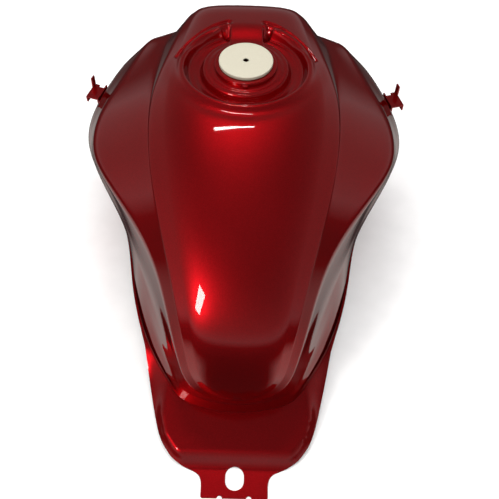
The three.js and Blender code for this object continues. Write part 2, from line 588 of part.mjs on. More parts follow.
place('outer_shell', outerShell(), paint());
place('underside_pan', undersidePan(), paint());
place('filler_neck', fillerNeck(), paint());
place('filler_plug', fillerPlug(), cream());
place('drain_tube', drainTube(), steel());
place('slosh_baffle', sloshBaffle(), steel());
for (const [tag, side] of [['left', -1], ['right', 1]]) {
  place(`front_bracket_${tag}`, frontBracket(side), steel());
  place(`shroud_hook_${tag}`, shroudHook(side), paint());
}
place('tap_flange', tapFlange(), steel());
place('tap_gasket', tapGasket(), black());
place('tap_body', tapBody(), alloy());
place('tap_bolt_front', tapBolt(1), steel());
place('tap_bolt_rear', tapBolt(-1), steel());
place('tap_strainer', tapStrainer(), white());
place('tap_lever', tapLever(), black());
place('tap_lever_plate', tapPlate(), steel());
place('tap_screw_front', tapScrew(1), steel());
place('tap_screw_rear', tapScrew(-1), steel());
place('sender_ring', senderLayer(20.3, 31, BELLY_Z - GAP - 3, BELLY_Z - GAP), steel());
place('sender_gasket', senderLayer(20.3, 31, BELLY_Z - GAP - 4.3, BELLY_Z - GAP - 3.1), black());
place('sender_body', senderBody(), alloy());
SENDER_SCREWS.forEach(([a, b], i) => place(`sender_screw_${i + 1}`, senderScrew(a, b), steel()));
place('float_arm', floatArm(), brass());
place('float', floatBody(), white());

export default tank;
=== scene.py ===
# %% [markdown]
# # A motorcycle fuel tank, piece by piece
# A street motorcycle's tank is pressed from two thin steel sheets: a painted outer shell
# and an underside pan that straddles the frame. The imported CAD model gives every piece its
# place and its joint. This lesson gives those pieces their smooth pressed shapes and
# their finishes, in metres, in the same frame.

import json
import math

import bmesh
import bpy
import numpy as np
from mathutils import Matrix, Vector
from mathutils.geometry import delaunay_2d_cdt


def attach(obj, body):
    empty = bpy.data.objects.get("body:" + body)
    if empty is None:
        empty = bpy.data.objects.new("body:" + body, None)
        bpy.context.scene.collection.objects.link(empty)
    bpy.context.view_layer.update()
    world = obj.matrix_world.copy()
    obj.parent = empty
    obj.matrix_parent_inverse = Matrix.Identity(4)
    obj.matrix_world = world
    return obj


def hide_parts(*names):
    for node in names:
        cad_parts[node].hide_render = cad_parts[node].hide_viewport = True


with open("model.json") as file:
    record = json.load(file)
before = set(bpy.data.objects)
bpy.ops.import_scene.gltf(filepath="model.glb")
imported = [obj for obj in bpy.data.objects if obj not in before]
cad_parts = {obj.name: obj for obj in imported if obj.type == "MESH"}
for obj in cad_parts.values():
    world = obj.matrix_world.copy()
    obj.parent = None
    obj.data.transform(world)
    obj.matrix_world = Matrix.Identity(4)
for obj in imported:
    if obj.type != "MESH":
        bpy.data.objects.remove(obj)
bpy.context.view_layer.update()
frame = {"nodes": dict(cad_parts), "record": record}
scene = bpy.context.scene

# %% [markdown]
# ## Camera, floor and studio light
# The tank is seen from behind and above, the way a rider sees it, through a 50 mm lens.
# Gloss paint shows what it reflects, so the light matters as much as the paint: one small
# window behind on the left, one long lamp over the front, and a dim room round them. A wide
# soft panel overhead lights the floor and the plastic; it and the floor stay out of the
# paint's reflections, where the room's paler lower sides stand in for the floor.

# %% Camera
MM = 0.001
ORIGIN_Y = 2.85                     # mm, centres the length on the origin
CAMERA_AT = Vector((0.0, -531.3 + ORIGIN_Y, 817.0)) * MM
CAMERA_DIP = math.radians(54.0)
CAMERA_ROLL = math.radians(1.58)

scene.view_settings.view_transform = "Standard"
lens = bpy.data.cameras.new("camera")
lens.lens = 50.0
lens.sensor_width = 36.0
lens.shift_x = 0.0174
lens.clip_start = 0.05
camera = bpy.data.objects.new("camera", lens)
camera.location = CAMERA_AT
forward = Vector((0.0, math.cos(CAMERA_DIP), -math.sin(CAMERA_DIP)))
camera.rotation_mode = "QUATERNION"
aim = forward.to_track_quat("-Z", "Y").to_matrix().to_4x4()
camera.rotation_quaternion = (aim @ Matrix.Rotation(CAMERA_ROLL, 4, "Z")).to_quaternion()
scene.collection.objects.link(camera)
scene.camera = camera

# %% [markdown]
# ## Helpers for wiring materials
# Every finish here is a small net of nodes, so the steps they share are written once: an
# empty material, a node with its values, a colour ramp and a fine noise for the bump.

# %% Node helpers
def new_material(name):
    """An empty node material and its Principled shader, ready to be wired."""
    mat = bpy.data.materials.new(name)
    mat.use_nodes = True
    return mat, mat.node_tree, mat.node_tree.nodes["Principled BSDF"]


def add_node(tree, kind, **values):
    """A node with its input values and settings filled in."""
    node = tree.nodes.new(kind)
    for key, value in values.items():
        if key in node.inputs:
            node.inputs[key].default_value = value
        else:
            setattr(node, key, value)
    return node


def ramp(tree, source, stops):
    """A colour ramp fed by source, from (position, colour) stops."""
    node = tree.nodes.new("ShaderNodeValToRGB")
    elements = node.color_ramp.elements
    while len(elements) < len(stops):
        elements.new(0.5)
    for element, (at, colour) in zip(elements, stops):
        element.position = at
        element.color = (*colour, 1.0) if len(colour) == 3 else colour
    tree.links.new(source, node.inputs[0])
    return node.outputs[0]


def noise_bump(tree, shader, scale, depth):
    """A noise wired to the shader's bump; the noise node is returned for its colour."""
    coords = tree.nodes.new("ShaderNodeTexCoord")
    noise = add_node(tree, "ShaderNodeTexNoise", Scale=scale, Detail=3.0)
    tree.links.new(coords.outputs["Object"], noise.inputs["Vector"])
    bump = add_node(tree, "ShaderNodeBump", Strength=1.0, Distance=depth)
    tree.links.new(noise.outputs["Fac"], bump.inputs["Height"])
    tree.links.new(bump.outputs["Normal"], shader.inputs["Normal"])
    return noise


# %% [markdown]
# ## Floor and lamps
# A plain pale floor catches the tank's soft shadow. Lamps could sit in a ring round it,
# but each lamp is also a highlight in the clear coat, so there are only the two that are
# meant to be seen and one that isn't.

# %% Floor and lights
FLOOR_HALF = 6.0
FLOOR_DROP = 0.0005                 # m, keeps the floor just clear of the tank's lowest edge


def build_floor():
    mesh = bpy.data.meshes.new("floor")
    size = FLOOR_HALF
    corners = [(-size, -size, 0), (size, -size, 0), (size, size, 0), (-size, size, 0)]
    mesh.from_pydata(corners, [], [(0, 1, 2, 3)])
    floor = bpy.data.objects.new("floor", mesh)
    floor.location.z = -FLOOR_DROP
    scene.collection.objects.link(floor)
    mat, tree, shader = new_material("pale_floor")
    noise = noise_bump(tree, shader, 30.0, 0.0002)
    pale = [(0.3, (0.86, 0.86, 0.86)), (0.7, (0.9, 0.9, 0.9))]
    colour = ramp(tree, noise.outputs["Fac"], pale)
    tree.links.new(colour, shader.inputs["Base Color"])
    shader.inputs["Roughness"].default_value = 0.8
    mesh.materials.append(mat)
    floor.visible_glossy = False
    return floor


def add_area(name, at, target, size, power, colour=(1, 1, 1), glossy=True):
    """A rectangular lamp at a place, aimed at a target; metres and watts."""
    data = bpy.data.lights.new(name, "AREA")
    data.shape = "RECTANGLE"
    data.size, data.size_y = size
    data.energy = power
    data.color = colour
    lamp = bpy.data.objects.new(name, data)
    lamp.location = at
    lamp.rotation_mode = "QUATERNION"
    lamp.rotation_quaternion = (Vector(target) - Vector(at)).to_track_quat("-Z", "Y")
    lamp.visible_glossy = glossy
    scene.collection.objects.link(lamp)
    return lamp


WARM = (1.0, 0.97, 0.93)
build_floor()
add_area("overhead_fill", (0.0, 0.205, 2.0), (0, 0.206, 0), (3.6, 3.6), 102.0, glossy=False)
add_area("window_behind", (-0.88, -0.98, 1.06), (-0.03, -0.148, 0.183), (0.24, 0.5), 8.0, WARM)
add_area("front_tube", (-0.11, 0.60, 1.76), (-0.01, 0.04, 0.27), (0.44, 0.05), 2.6, WARM)

# The room: dark just under the horizon, brightest just over it, pale low down at the sides.
world = bpy.data.worlds.new("room")
world.use_nodes = True
scene.world = world
room = world.node_tree
direction = room.nodes.new("ShaderNodeTexCoord")
split = room.nodes.new("ShaderNodeSeparateXYZ")
room.links.new(direction.outputs["Generated"], split.inputs[0])
height = add_node(room, "ShaderNodeMapRange")
height.inputs["From Min"].default_value = -1.0
room.links.new(split.outputs["Z"], height.inputs["Value"])
sideways = add_node(room, "ShaderNodeMath", operation="ABSOLUTE")
room.links.new(split.outputs["X"], sideways.inputs[0])
above = ramp(room, height.outputs["Result"], [
    (0.33, (0.03, 0.03, 0.03)), (0.47, (0.05, 0.049, 0.048)), (0.54, (0.42, 0.40, 0.40)),
    (0.66, (0.24, 0.22, 0.215)), (0.76, (0.17, 0.165, 0.16)), (0.85, (0.12, 0.118, 0.116)),
    (0.952, (0.07, 0.068, 0.067))])
below = ramp(room, sideways.outputs[0], [(0.3, (0.03, 0.03, 0.03)), (0.5, (0.62, 0.60, 0.57))])
share = ramp(room, height.outputs["Result"], [(0.24, (0, 0, 0)), (0.33, (1, 1, 1))])
blend = room.nodes.new("ShaderNodeMix")
blend.data_type = "RGBA"
room.links.new(share, blend.inputs["Factor"])
room.links.new(below, blend.inputs[6])
room.links.new(above, blend.inputs[7])
room.links.new(blend.outputs[2], room.nodes["Background"].inputs["Color"])
room.nodes["Background"].inputs["Strength"].default_value = 1.0

# %% [markdown]
# ## The character lines of the shell
# A pressed tank is drawn by its sections. Each row below is the right half of one section,
# from the crown down to the lower edge, and fifteen of them run from the tunnel mouth up
# the front face, back over the deck and round the tail. A smooth spline joins them.

# %% Sections
STATIONS = np.array([
    [(0, 270, 152), (24, 270, 150), (42, 270, 140), (50, 270, 128),
     (54, 270, 95), (56, 270, 62), (58, 270, 30), (60, 270, 0)],
    [(0, 285, 192), (38, 285, 190), (66, 284, 182), (76, 284, 168),
     (98, 284, 136), (100, 284, 98), (92, 284, 44), (88, 283, 0)],
    [(0, 291, 238), (56, 290, 236), (80, 287, 222), (90, 287, 203),
     (130, 288, 190), (155, 288, 150), (144, 288, 70), (122, 286, 0)],
    [(0, 282, 264), (58, 282, 262), (74, 279, 249), (92, 278, 222),
     (133, 275, 208), (177, 270, 164), (170, 270, 90), (142, 272, 0)],
    [(0, 238, 271), (62, 238, 267), (86, 236, 252), (109, 234, 228),
     (146, 232, 208), (190, 236, 167), (188, 232, 104), (160, 232, 0)],
    [(0, 185, 277), (68, 185, 272), (97, 182, 256), (111, 182, 238),
     (166, 178, 205), (207, 186, 163), (206, 184, 118), (172, 186, 0)],
    [(0, 132, 280), (76, 132, 274), (110, 127, 252), (114, 127, 246),
     (186, 128, 201), (213, 136, 160), (209, 130, 120), (176, 132, 0)],
    [(0, 88, 280), (78, 88, 273), (113, 82, 248), (115, 82, 245),
     (192, 74, 190), (200, 90, 156), (191, 84, 116), (168, 86, 0)],
    [(0, 28, 271), (74, 28, 264), (109, 21, 237), (111, 21, 235),
     (173, 30, 189), (160, 40, 140), (155, 38, 90), (152, 36, 0)],
    [(0, -45, 246), (64, -45, 238), (94, -49, 215), (95, -49, 213),
     (119, -44, 183), (128, -28, 98), (136, -20, 76), (143, -22, 0)],
    [(0, -105, 221), (52, -105, 214), (77, -108, 193), (78, -108, 191),
     (91, -102, 171), (106, -82, 98), (118, -74, 72), (131, -70, 0)],
    [(0, -160, 187), (43, -160, 182), (64, -160, 164), (65, -160, 162),
     (76, -156, 147), (86, -138, 104), (98, -128, 64), (114, -122, 0)],
    [(0, -187, 152), (42, -184, 148), (57, -177, 132), (58, -177, 130),
     (67, -178, 118), (70, -174, 92), (73, -172, 56), (80, -172, 0)],
    [(0, -202, 101), (38, -200, 98), (51, -195, 88), (52, -195, 85),
     (57, -196, 74), (59, -194, 62), (62, -190, 50), (66, -190, 0)],
    [(0, -207, 64), (0, -207, 61), (0, -207, 58), (0, -207, 56),
     (0, -206, 53), (0, -205, 50), (0, -204, 46), (0, -203, 0)],
], float)
ROUNDING = (0.5, 0.5, 0.16, 0.12, 0.13, 0.4, 0.25, 0.0)   # share of each side taken by its corner
LAST = len(STATIONS) - 1
BELLY_Z = 37.0                      # raised middle of the underside
SHEET = 1.2                         # steel thickness
GAP = 0.3                           # clearance between pieces
TUNNEL_Z = 152.0                    # top of the frame tunnel at its mouth


def smooth(t):
    """Soft ramp from 0 at t = 0 to 1 at t = 1."""
    t = np.clip(t, 0.0, 1.0)
    return t * t * (3 - 2 * t)


def belly_z(y):
    """Height of the pan's lower side beside the tunnel, for the y of a point in mm."""
    y = np.asarray(y, float)
    front = BELLY_Z * smooth((122 - y) / 92)
    tray = BELLY_Z + (22 - BELLY_Z) * (-110 - y) / 95
    dish = 22 + (16 - 22) * (-205 - y) / 37
    tab = 16 * (1 - smooth((-242 - y) / 18))
    zones = [y >= 30, y >= -110, y >= -205, y >= -242]
    return np.select(zones, [front, np.full_like(y, BELLY_Z), tray, dish], tab)


def spline_rows(ts):
    """Control points of the section at each place ts along the tank: (n, 8, 3)."""
    before = 2 * STATIONS[0] - STATIONS[1]
    after = STATIONS[LAST - 1] * np.array((-1.0, 1.0, 1.0))
    padded = np.concatenate([before[None], STATIONS, after[None]])
    i = np.clip(np.floor(ts).astype(int), 0, LAST - 1)
    f = (ts - i)[:, None, None]
    w = ((1 - f) ** 3, 3 * f ** 3 - 6 * f * f + 4, -3 * f ** 3 + 3 * f * f + 3 * f + 1, f ** 3)
    rows = sum(wk * padded[i + k] for k, wk in enumerate(w)) / 6
    rows[:, 7, 2] = belly_z(rows[:, 7, 1]) + SHEET + GAP
    return rows


def half_sections(rows, spans, rounds):
    """Rounds the corners of each control polygon: (n, columns, 3) and each column's place."""
    mirrored = rows[:, 1] * np.array((-1.0, 1.0, 1.0))
    points, places = [], []

    def bend(a, b, c, ra, rc, u):
        p, r = b + (a - b) * ra, b + (c - b) * rc
        return (p + (b - p) * u) * (1 - u) + (b + (r - b) * u) * u

    for i in range(rounds[0] + 1):
        u = 0.5 + 0.5 * i / rounds[0]
        points.append(bend(mirrored, rows[:, 0], rows[:, 1], 0.5, 0.5, u))
        places.append(u - 0.5)
    for k in range(7):
        lo, hi = ROUNDING[k], 1 - ROUNDING[k + 1]
        for i in range(1, spans[k] + 1):
            if hi > lo:
                t = lo + (hi - lo) * i / spans[k]
                points.append(rows[:, k] + (rows[:, k + 1] - rows[:, k]) * t)
                places.append(k + t)
        if k == 6:
            break
        r = ROUNDING[k + 1]
        for i in range(1, rounds[k + 1] + 1):
            u = i / rounds[k + 1]
            points.append(bend(rows[:, k], rows[:, k + 1], rows[:, k + 2], r, r, u))
            places.append(k + 1 - r + 2 * r * u)
    return np.stack(points, 1), np.array(places)


# %% [markdown]
# ## Pressed details of the deck
# Round the filler the deck sinks into a moat that catches spilt fuel, with a raised
# platform inside it and a flat bridge to the front. Two slanted steps leave the bridge.
# They are height changes of one sheet, so they are written as smooth functions of the
# distance to the neck and added to a finely divided surface.

# %% Deck heights
NECK = (0.0, 144.0)
PLATFORM_R, PLATFORM_Z = 53.0, 267.0
BOWL_R, BOWL_FLOOR_Z = 76.0, 256.0
BRIDGE_HALF = 20.0
GROOVE_DEPTH, POCKET_DEPTH = 2.6, 6.0
LIP_RISE, TROUGH_DEPTH = 1.5, 1.6
FILLER_HOLE_R = 34.5


def step(x, edge, width):
    """0 below the edge, 1 above it, with a soft ramp of the given width."""
    return smooth((x - edge) / width + 0.5)


def to_segment(x, y, start, end):
    """Distance from points to a straight segment in the plan view."""
    ax, ay = start
    bx, by = end[0] - ax, end[1] - ay
    t = np.clip(((x - ax) * bx + (y - ay) * by) / (bx * bx + by * by), 0, 1)
    return np.hypot(x - ax - bx * t, y - ay - by * t)


def in_triangle(x, y, corners):
    """Signed depth inside a triangle in the plan view: positive inside, in mm."""
    depth = np.full(np.shape(x), 1e9)
    for k in range(3):
        (ax, ay), (bx, by) = corners[k], corners[(k + 1) % 3]
        length = math.hypot(bx - ax, by - ay)
        depth = np.minimum(depth, ((bx - ax) * (y - ay) - (by - ay) * (x - ax)) / length)
    return depth


# Right-hand slanted groove beside the bridge, and the small pocket inside it, in mm.
GROOVE = [(24.0, 224.5), (39.0, 215.5), (54.0, 202.5), (67.0, 187.0), (77.0, 173.0),
          (83.0, 163.0)]
POCKET = [(24.5, 203.5), (36.5, 215.5), (24.5, 221.0)]


def deck_relief(x, y, z):
    """New heights for points of the deck, with everything pressed into it."""
    dx, dy = x - NECK[0], y - NECK[1]
    side = np.abs(dx)
    r = np.hypot(dx, dy)
    bridge = (1 - step(side, BRIDGE_HALF + 1.5, 3.0)) * step(dy, 34.0, 8.0)
    inside = 1 - step(r, BOWL_R - 3.0, 8.0)
    platform = 1 - step(r, PLATFORM_R + 0.5, 4.0)
    ring = 1 - step(r, 45.0, 2.0)
    floor_z = BOWL_FLOOR_Z + 1.5 * smooth((r - 58) / 8)
    raised = PLATFORM_Z - 1.2 * (platform - ring)
    pressed = floor_z + (raised - floor_z) * platform
    ramp_z = PLATFORM_Z + (z - PLATFORM_Z) * smooth((dy - 46) / 34)
    moat = z + (pressed - z) * inside
    moat = moat + (ramp_z - moat) * bridge * (r < BOWL_R + 6)
    behind = smooth((30 - dy) / 60)
    lip = LIP_RISE * np.exp(-((r - BOWL_R - 4.0) / 3.5) ** 2)
    trough = TROUGH_DEPTH * np.exp(-((r - 90) / 8.0) ** 2) * behind
    near = np.min([to_segment(side, y, a, b) for a, b in zip(GROOVE[:-1], GROOVE[1:])], axis=0)
    groove = GROOVE_DEPTH * (1 - step(near, 4.6, 2.4)) * (1 - platform)
    corner = in_triangle(side, y, POCKET)
    pocket = POCKET_DEPTH * smooth(corner / 2.5 + 0.3)
    return moat + (lip * (1 - bridge) - trough) * (r > 60) - np.maximum(groove, pocket)

# %% [markdown]
# ## The shell as one fine sheet
# The surface could be a subdivided cage, but a pressed tank needs its creases in known
# places. So the mesh is a grid laid straight on the sections: dense round the filler,
# coarser on the flanks, with the lower edge folded in like a hemmed sheet.

# %% Build the shell
def place_list():
    """Places along the tank, dense over the filler and near the tail."""
    spans = [8, 10, 12, 30, 44, 46, 44, 26, 18, 16, 16, 18, 20, 20]
    return np.concatenate([np.arange(n) / n + k for k, n in enumerate(spans)] + [[LAST]])


COLUMN_SPANS = (12, 10, 3, 8, 6, 8, 10)
COLUMN_ROUNDS = (30, 34, 8, 6, 8, 8, 8)
HEM_TOWARDS_Y, HEM_HEIGHT = 60.0, 9.0


def mesh_object(name, points, faces, mat):
    """A smooth-shaded mesh object with its material."""
    mesh = bpy.data.meshes.new(name)
    mesh.from_pydata([tuple(p) for p in points], [], [tuple(f) for f in faces])
    mesh.validate()
    obj = bpy.data.objects.new(name, mesh)
    scene.collection.objects.link(obj)
    mesh.polygons.foreach_set("use_smooth", [True] * len(mesh.polygons))
    mesh.materials.append(mat)
    return obj


def to_row_frame(points):
    """Millimetres from the tank's own origin to metres in the shared frame."""
    return (points + np.array((0.0, ORIGIN_Y, 0.0))) * MM


def shell_grid():
    """Right half of the shell as a grid, and each column's place across the section."""
    half, places = half_sections(spline_rows(place_list()), COLUMN_SPANS, COLUMN_ROUNDS)
    half[:, 0, 0] = 0
    half[-1, :, 0] = 0
    return half, places


def drop_loose(mesh):
    """Deletes the vertices that no face uses."""
    bm = bmesh.new()
    bm.from_mesh(mesh)
    bmesh.ops.delete(bm, geom=[v for v in bm.verts if not v.link_faces], context="VERTS")
    bm.to_mesh(mesh)
    bm.free()


def hand_over(piece, node, body="tank"):
    """Puts a piece on its body in place of a CAD node."""
    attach(piece, body)
    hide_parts(node)
    print(piece.name, len(piece.data.vertices), "vertices")


def build_shell(mat):
    """The painted outer sheet: deck details pressed in, lower edge hemmed, filler hole open."""
    half, places = shell_grid()
    top = places[None, :] < 2.2
    on_deck = top & (half[..., 1] > 40) & (half[..., 2] > 225)
    lifted = deck_relief(half[..., 0], half[..., 1], half[..., 2])
    half[..., 2] = np.where(on_deck, lifted, half[..., 2])
    edge = half[:, -1:, :]
    inward = half[:, -1:, :] * np.array((-1.0, 0.0, 0.0))
    inward[..., 1] = HEM_TOWARDS_Y - half[:, -1:, 1]
    inward /= np.maximum(np.linalg.norm(inward, axis=2, keepdims=True), 1e-9)
    hem = [edge + inward * SHEET, edge + inward * SHEET + np.array((0, 0, HEM_HEIGHT))]
    half = np.concatenate([half, *hem], axis=1)
    rows, cols = half.shape[:2]
    left = half[:, :0:-1] * np.array((-1.0, 1.0, 1.0))
    full = np.concatenate([left, half], axis=1)
    width = full.shape[1]
    points = to_row_frame(full.reshape(-1, 3))
    centre = cols - 1
    last = rows - 1

    def vertex(i, j):
        if i == last and j < centre:
            j = 2 * centre - j
        return i * width + j

    radius = np.hypot(full[..., 0] - NECK[0], full[..., 1] - NECK[1])
    near_top = full[..., 2] > 240
    faces = []
    for i in range(rows - 1):
        for j in range(width - 1):
            if near_top[i, j] and radius[i:i + 2, j:j + 2].max() < FILLER_HOLE_R:
                continue
            ids = [vertex(i, j), vertex(i, j + 1), vertex(i + 1, j + 1), vertex(i + 1, j)]
            faces.append([v for k, v in enumerate(ids) if v not in ids[:k]])
    shell = mesh_object("shell_skin", points, [f for f in faces if len(f) > 2], mat)
    drop_loose(shell.data)
    hand_over(shell, "outer_shell")
    return shell


# %% [markdown]
# ## The underside pan
# The second pressing could be cut from one plate, but it has to follow the frame tunnel,
# rise over the belly, dish down behind the tank and end in a flat tab. Cutting the finished
# shape would leave ragged edges, so the trim line and the holes are drawn first on the flat
# sheet. It is filled with triangles between them, bent to its heights and thickened.

# %% Underside pan
SIDE_WALL = np.array([(-110, 104, 120), (-163, 84, 107), (-201, 88, 99), (-224, 83, 91.5),
                      (-237, 73, 85), (-250, 62, 75), (-262, 61, 64)], float)
TRAY_OUTLINE = [(117, -120), (111, -150), (106, -172), (100, -196), (94, -218), (87, -234), (75, -250),
                (60, -259), (47, -264), (42, -268), (39, -275), (39, -294)]


SHEET_SHOWN = 1.1                   # mm, a little under the steel, clear of the shell's edge
FLANGE = 2.4                        # how far the pan stands out past the shell's edge
NOTCH_X, NOTCH_R = 17.0, 3.2        # small notches in the tab's rear edge
TAB_END_Y = -294.0
SLOT = (0, -271, 11, 3)             # x, y, end radius, half the straight part
TAP_HOLE = (-88, -18, 12)
SENDER_HOLE = (92, -34, 20, 56)
DRAIN_HOLE = (84, 16, 4.3)
TRIM_CLEAR = 0.9                    # no inner point lies nearer than this to a trim line


def tunnel_share(y):
    """How much of the mouth's tunnel height is left at y."""
    return 0.96 * smooth((y + 150) / 420 + 0.12) * smooth((y + 128) / 90)


def pan_columns():
    """Half section of the pan: distance along the sheet, x and tunnel height, in mm."""
    mouth, _ = half_sections(STATIONS[:1].copy(), (10, 6, 5, 4, 8, 8, 8), (6, 6, 4, 4, 4, 4, 2))
    arch = mouth[0][:, [0, 2]]
    arch = arch[arch[:, 1] > 1.0]
    arch[:, 0] -= (GAP + SHEET + 0.5) * smooth(arch[:, 0] / 30)
    arch[:, 0] = np.maximum.accumulate(arch[:, 0]) + 0.03 * np.arange(len(arch))
    arch[0, 0] = 0
    arch[:, 1] = np.minimum(arch[:, 1], TUNNEL_Z - SHEET - 1.4)
    flats = np.arange(arch[-1, 0] + 0.8, 200.0, 2.6)
    xs = np.concatenate([arch[:, 0], flats])
    heights = np.concatenate([arch[:, 1], np.zeros(len(flats))])
    along = np.concatenate([[0], np.cumsum(np.hypot(np.diff(xs), np.diff(heights)))])
    return along, xs, heights


def pan_point(s, y, columns):
    """A point of the pan's middle surface from its distance along the section and its y."""
    x = np.interp(np.abs(s), columns[0], columns[1])
    arch = np.interp(np.abs(s), columns[0], columns[2])
    low = belly_z(y)
    top, edge = (np.interp(-y, -SIDE_WALL[:, 0], SIDE_WALL[:, k]) for k in (1, 2))
    share = np.clip((x - top) / (edge - top), 0, 1)
    drop = np.minimum(12.0, low * 0.6) * smooth((-112 - y) / 45) * smooth((y + 262) / 14)
    z = low + arch * tunnel_share(y) - drop * (smooth(share) + share) / 2 + 0.6
    return np.stack([np.sign(s) * x, y, z], -1)


def inside_loop(points, loop):
    """Even-odd test of many plan points against one closed outline."""
    x, y = points[:, 0], points[:, 1]
    hit = np.zeros(len(points), bool)
    for (ax, ay), (bx, by) in zip(loop, np.roll(loop, -1, axis=0)):
        if ay != by:
            cross = ax + (y - ay) / (by - ay) * (bx - ax)
            hit ^= ((ay > y) != (by > y)) & (x < cross)
    return hit


def pan_outline():
    """Trim line of the pan in mm: a small flange outside the shell's edge, then the tray."""
    edge = half_sections(spline_rows(place_list()), COLUMN_SPANS, COLUMN_ROUNDS)[0][:, -1, :2]
    edge = edge[edge[:, 1] > -96][::3]
    along = np.gradient(edge, axis=0)
    along /= np.linalg.norm(along, axis=1, keepdims=True)
    flange = edge + FLANGE * np.stack([-along[:, 1], along[:, 0]], 1)
    tray = np.array(TRAY_OUTLINE, float)
    t = np.linspace(0, 1, 5)[1:-1, None]
    soft = [flange, tray[:1]]
    for a, b, c in zip(tray[:-2], tray[1:-1], tray[2:]):
        soft.append((a + b) / 2 * (1 - t) ** 2 + 2 * t * (1 - t) * b + (b + c) / 2 * t ** 2)
    turn = np.linspace(0, math.pi, 10)
    notch = [(NOTCH_X + NOTCH_R * math.cos(a), TAB_END_Y + NOTCH_R * math.sin(a)) for a in turn]
    corner = [tray[-1:] + np.array([[0, 1.5]]), tray[-1:] - np.array([[1.5, 0]])]
    right = np.concatenate([*soft, *corner, notch])
    return np.concatenate([right, right[::-1] * np.array((-1.0, 1.0))])


def circle(x, y, r, n=40):
    turn = np.linspace(0, 2 * math.pi, n, endpoint=False)
    return [(x + r * math.cos(a), y + r * math.sin(a)) for a in turn]


def oval(x, y, r, half_long, n=16):
    """A slot's outline: two half circles joined by straight sides."""
    turn = np.linspace(0, math.pi, n)
    front = [(x + r * math.cos(a), y + half_long + r * math.sin(a)) for a in turn]
    rear = [(x - r * math.cos(a), y - half_long - r * math.sin(a)) for a in turn]
    return front + rear


def within_sheet(points, loops):
    """Which points lie inside the first outline and outside every hole."""
    inside = inside_loop(points, loops[0])
    for hole in loops[1:]:
        inside &= ~inside_loop(points, hole)
    return inside


def clear_of_trim(points, loops):
    """Which points keep their distance from every trim line."""
    clear = np.ones(len(points), bool)
    for loop in loops:
        ends = np.roll(loop, -1, axis=0)
        gaps = [to_segment(points[:, 0], points[:, 1], a, b) for a, b in zip(loop, ends)]
        clear &= np.min(gaps, axis=0) > TRIM_CLEAR
    return clear


def fill_sheet(inner, loops):
    """Triangles of the flat sheet: the inner points, tied to the trim lines and the holes."""
    points = [*map(tuple, inner)]
    edges = []
    for loop in loops:
        n, m = len(points), len(loop)
        points += [*map(tuple, loop)]
        edges += [(n + k, n + (k + 1) % m) for k in range(m)]
    plan, _, triangles, *_ = delaunay_2d_cdt([Vector(p) for p in points], edges, [], 0, 1e-6)
    plan = np.array([tuple(p) for p in plan])
    middles = np.array([plan[list(t)].mean(axis=0) for t in triangles])
    return plan, [t for t, ok in zip(triangles, within_sheet(middles, loops)) if ok]


def thicken(piece, thickness):
    """Gives a one-sided sheet its real thickness and sharp cut edges."""
    sheet = piece.modifiers.new("sheet", "SOLIDIFY")
    sheet.thickness = thickness * MM
    sheet.offset = 0.0
    bpy.context.view_layer.update()
    evaluated = piece.evaluated_get(bpy.context.evaluated_depsgraph_get())
    shaped = bpy.data.meshes.new_from_object(evaluated)
    piece.modifiers.clear()
    piece.data = shaped
    shaped.set_sharp_from_angle(angle=math.radians(38))
    drop_loose(shaped)


def build_pan(mat):
    """The underside sheet: drawn flat, filled between its trim lines, bent and thickened."""
    columns = pan_columns()
    along, xs, _ = columns
    ys = np.concatenate([np.linspace(295, 132, 22), np.linspace(127, -100, 60),
                         np.linspace(-103, -262, 64), np.linspace(-265, -292, 10)])
    ss = np.concatenate([-along[:0:-1], along])
    inner = np.stack(np.meshgrid(ss, ys), -1).reshape(-1, 2)
    loops = []
    for outline in (pan_outline(), oval(*SLOT), circle(*TAP_HOLE), circle(*SENDER_HOLE),
                    circle(*DRAIN_HOLE)):
        loop = np.array(outline, float)
        loop[:, 0] = np.sign(loop[:, 0]) * np.interp(np.abs(loop[:, 0]), xs, along)
        loops.append(loop)
    inner = inner[within_sheet(inner, loops) & clear_of_trim(inner, loops)]
    plan, faces = fill_sheet(inner, loops)
    bent = to_row_frame(pan_point(plan[:, 0], plan[:, 1], columns))
    pan = mesh_object("pan_sheet", bent, faces, mat)
    thicken(pan, SHEET_SHOWN)
    hand_over(pan, "underside_pan")
    return pan


# %% [markdown]
# ## Candy red
# Candy paint is a tinted clear coat over a metallic base: dark and deep where nothing
# shines, bright scarlet round each highlight. A metallic base with a wide lobe gives that
# glow, fine flakes break it up, and a hard clear coat carries the sharp reflections.

